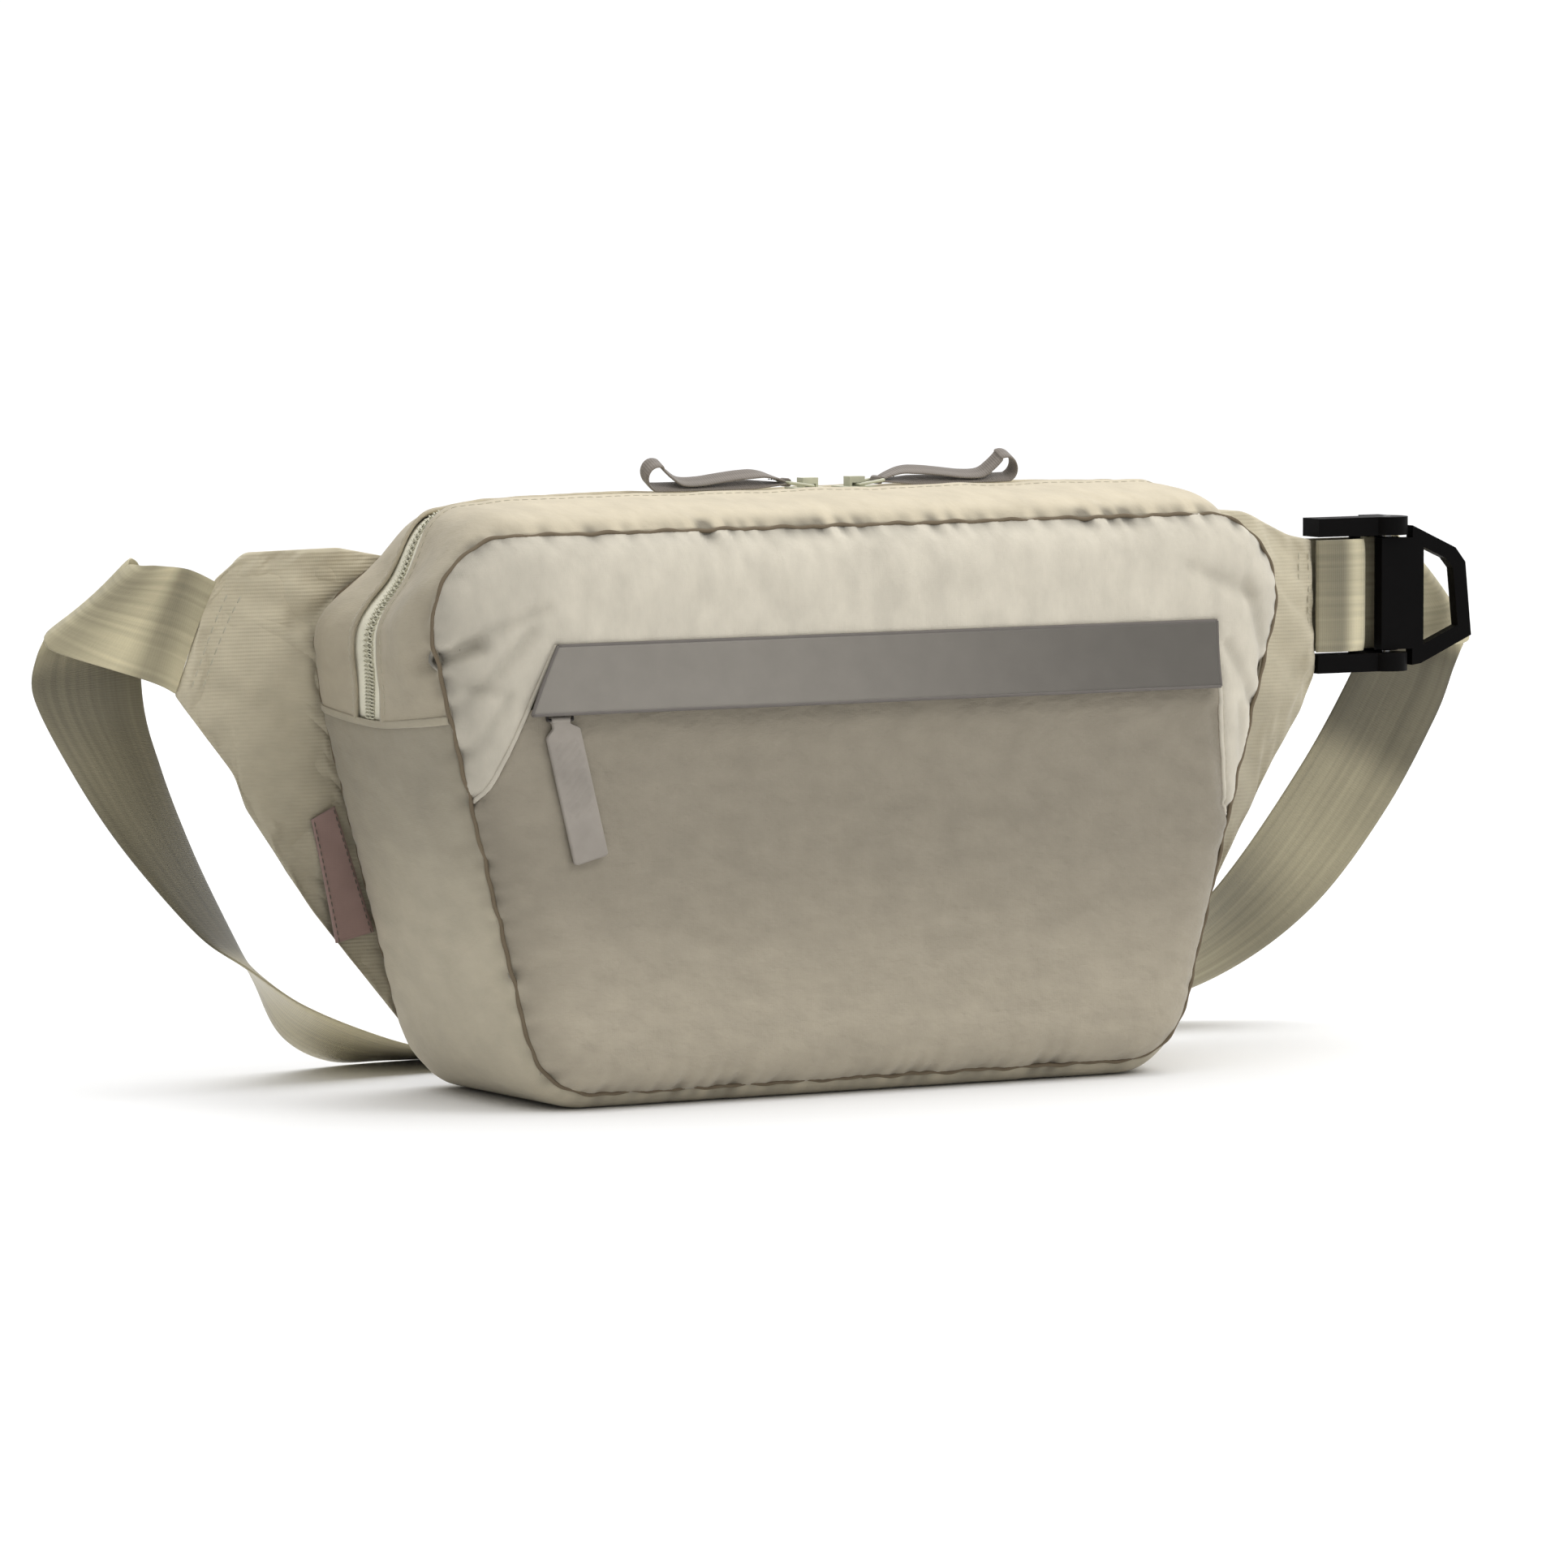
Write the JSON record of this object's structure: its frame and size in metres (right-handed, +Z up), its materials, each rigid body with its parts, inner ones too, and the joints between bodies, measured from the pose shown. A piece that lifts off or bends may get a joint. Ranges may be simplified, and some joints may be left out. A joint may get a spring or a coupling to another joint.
{
  "type": "waist pack",
  "caption": "Waist pack with a two-way zip, a flapped front pocket, sewn side wings, a webbing strap and a cam buckle.",
  "frame": {"origin": "centre of the flat base, on the floor", "axes": "+X to the right across the front, -Y out of the front panel, +Z up"},
  "size_m": [0.5481, 0.1717, 0.2016],
  "materials": {
    "nylon_light": "crinkled nylon, soft sheen",
    "nylon_dark": "crinkled nylon, soft sheen",
    "back_mesh": "spacer mesh",
    "lining": "plain woven lining",
    "foam": "closed-cell foam",
    "coated_flap": "smooth coated fabric",
    "webbing": "satin polyester webbing",
    "ribbon": "grosgrain ribbon",
    "zip_tape": "woven zip tape",
    "zip_coil": "moulded nylon coil",
    "slider_cream": "gloss enamel",
    "slider_dark": "satin enamel",
    "pull_rubber": "moulded, textured",
    "label": "woven tag, plain",
    "buckle_black": "satin black",
    "pin_steel": "brushed"
  },
  "bodies": {
    "root": {"front_yoke": "nylon_light", "pocket_panel": "nylon_dark", "pocket_back": "lining", "pocket_tape_upper": "zip_tape", "pocket_tape_lower": "zip_tape", "pocket_coil_upper": "zip_coil", "pocket_coil_lower": "zip_coil", "gusset_top_front": "nylon_light", "gusset_top_rear": "nylon_light", "gusset_lower": "nylon_dark", "main_tape_front": "zip_tape", "main_tape_rear": "zip_tape", "main_coil_front": "zip_coil", "main_coil_rear": "zip_coil", "back_panel": "back_mesh", "back_foam": "foam", "back_lining": "lining", "inner_pocket": "lining", "front_binding": "lining", "rear_binding": "lining", "wing_left": "nylon_dark", "wing_right": "nylon_dark", "side_label": "label", "main_strap": "webbing", "anchor_webbing": "webbing", "buckle_frame": "buckle_black", "cam_pin": "pin_steel"},
    "slider_left": {"main_slider_left": "slider_cream"},
    "slider_right": {"main_slider_right": "slider_cream"},
    "pull_left": {"pull_ring_left": "slider_cream", "ribbon_pull_left": "ribbon"},
    "pull_right": {"pull_ring_right": "slider_cream", "ribbon_pull_right": "ribbon"},
    "pocket_runner": {"pocket_slider": "slider_dark", "pocket_pull_ring": "slider_dark"},
    "pocket_tab": {"pocket_pull_tab": "pull_rubber"},
    "flap": {"storm_flap": "coated_flap"},
    "cam": {"cam_lever": "buckle_black"}
  },
  "joints": [
    {"name": "main_zip_left_slide", "type": "slide", "parent": "root", "child": "slider_left", "axis": [-1, 0, 0], "range_m": [0, 0.11]},
    {"name": "main_zip_right_slide", "type": "slide", "parent": "root", "child": "slider_right", "axis": [1, 0, 0], "range_m": [0, 0.095]},
    {"name": "left_pull_swing", "type": "hinge", "parent": "slider_left", "child": "pull_left", "pos_m": [0.0075, 0.005, 0.19249], "axis": [0, 1, 0], "range_deg": [0, 100]},
    {"name": "right_pull_swing", "type": "hinge", "parent": "slider_right", "child": "pull_right", "pos_m": [0.025, 0.005, 0.19249], "axis": [0, -1, 0], "range_deg": [0, 100]},
    {"name": "pocket_zip_slide", "type": "slide", "parent": "root", "child": "pocket_runner", "axis": [1, 0, 0], "range_m": [0, 0.225]},
    {"name": "pocket_tab_swing", "type": "hinge", "parent": "pocket_runner", "child": "pocket_tab", "pos_m": [-0.1162, -0.05395, 0.12491], "axis": [-1, 0, 0], "range_deg": [0, 85]},
    {"name": "flap_lift", "type": "hinge", "parent": "root", "child": "flap", "pos_m": [0, -0.0533, 0.148], "axis": [-1, 0, 0], "range_deg": [0, 75]},
    {"name": "cam_lever_swing", "type": "hinge", "parent": "root", "child": "cam", "pos_m": [0.258, 0.0451, 0.1475], "axis": [0, 0, -1], "range_deg": [0, 55]}
  ]
}
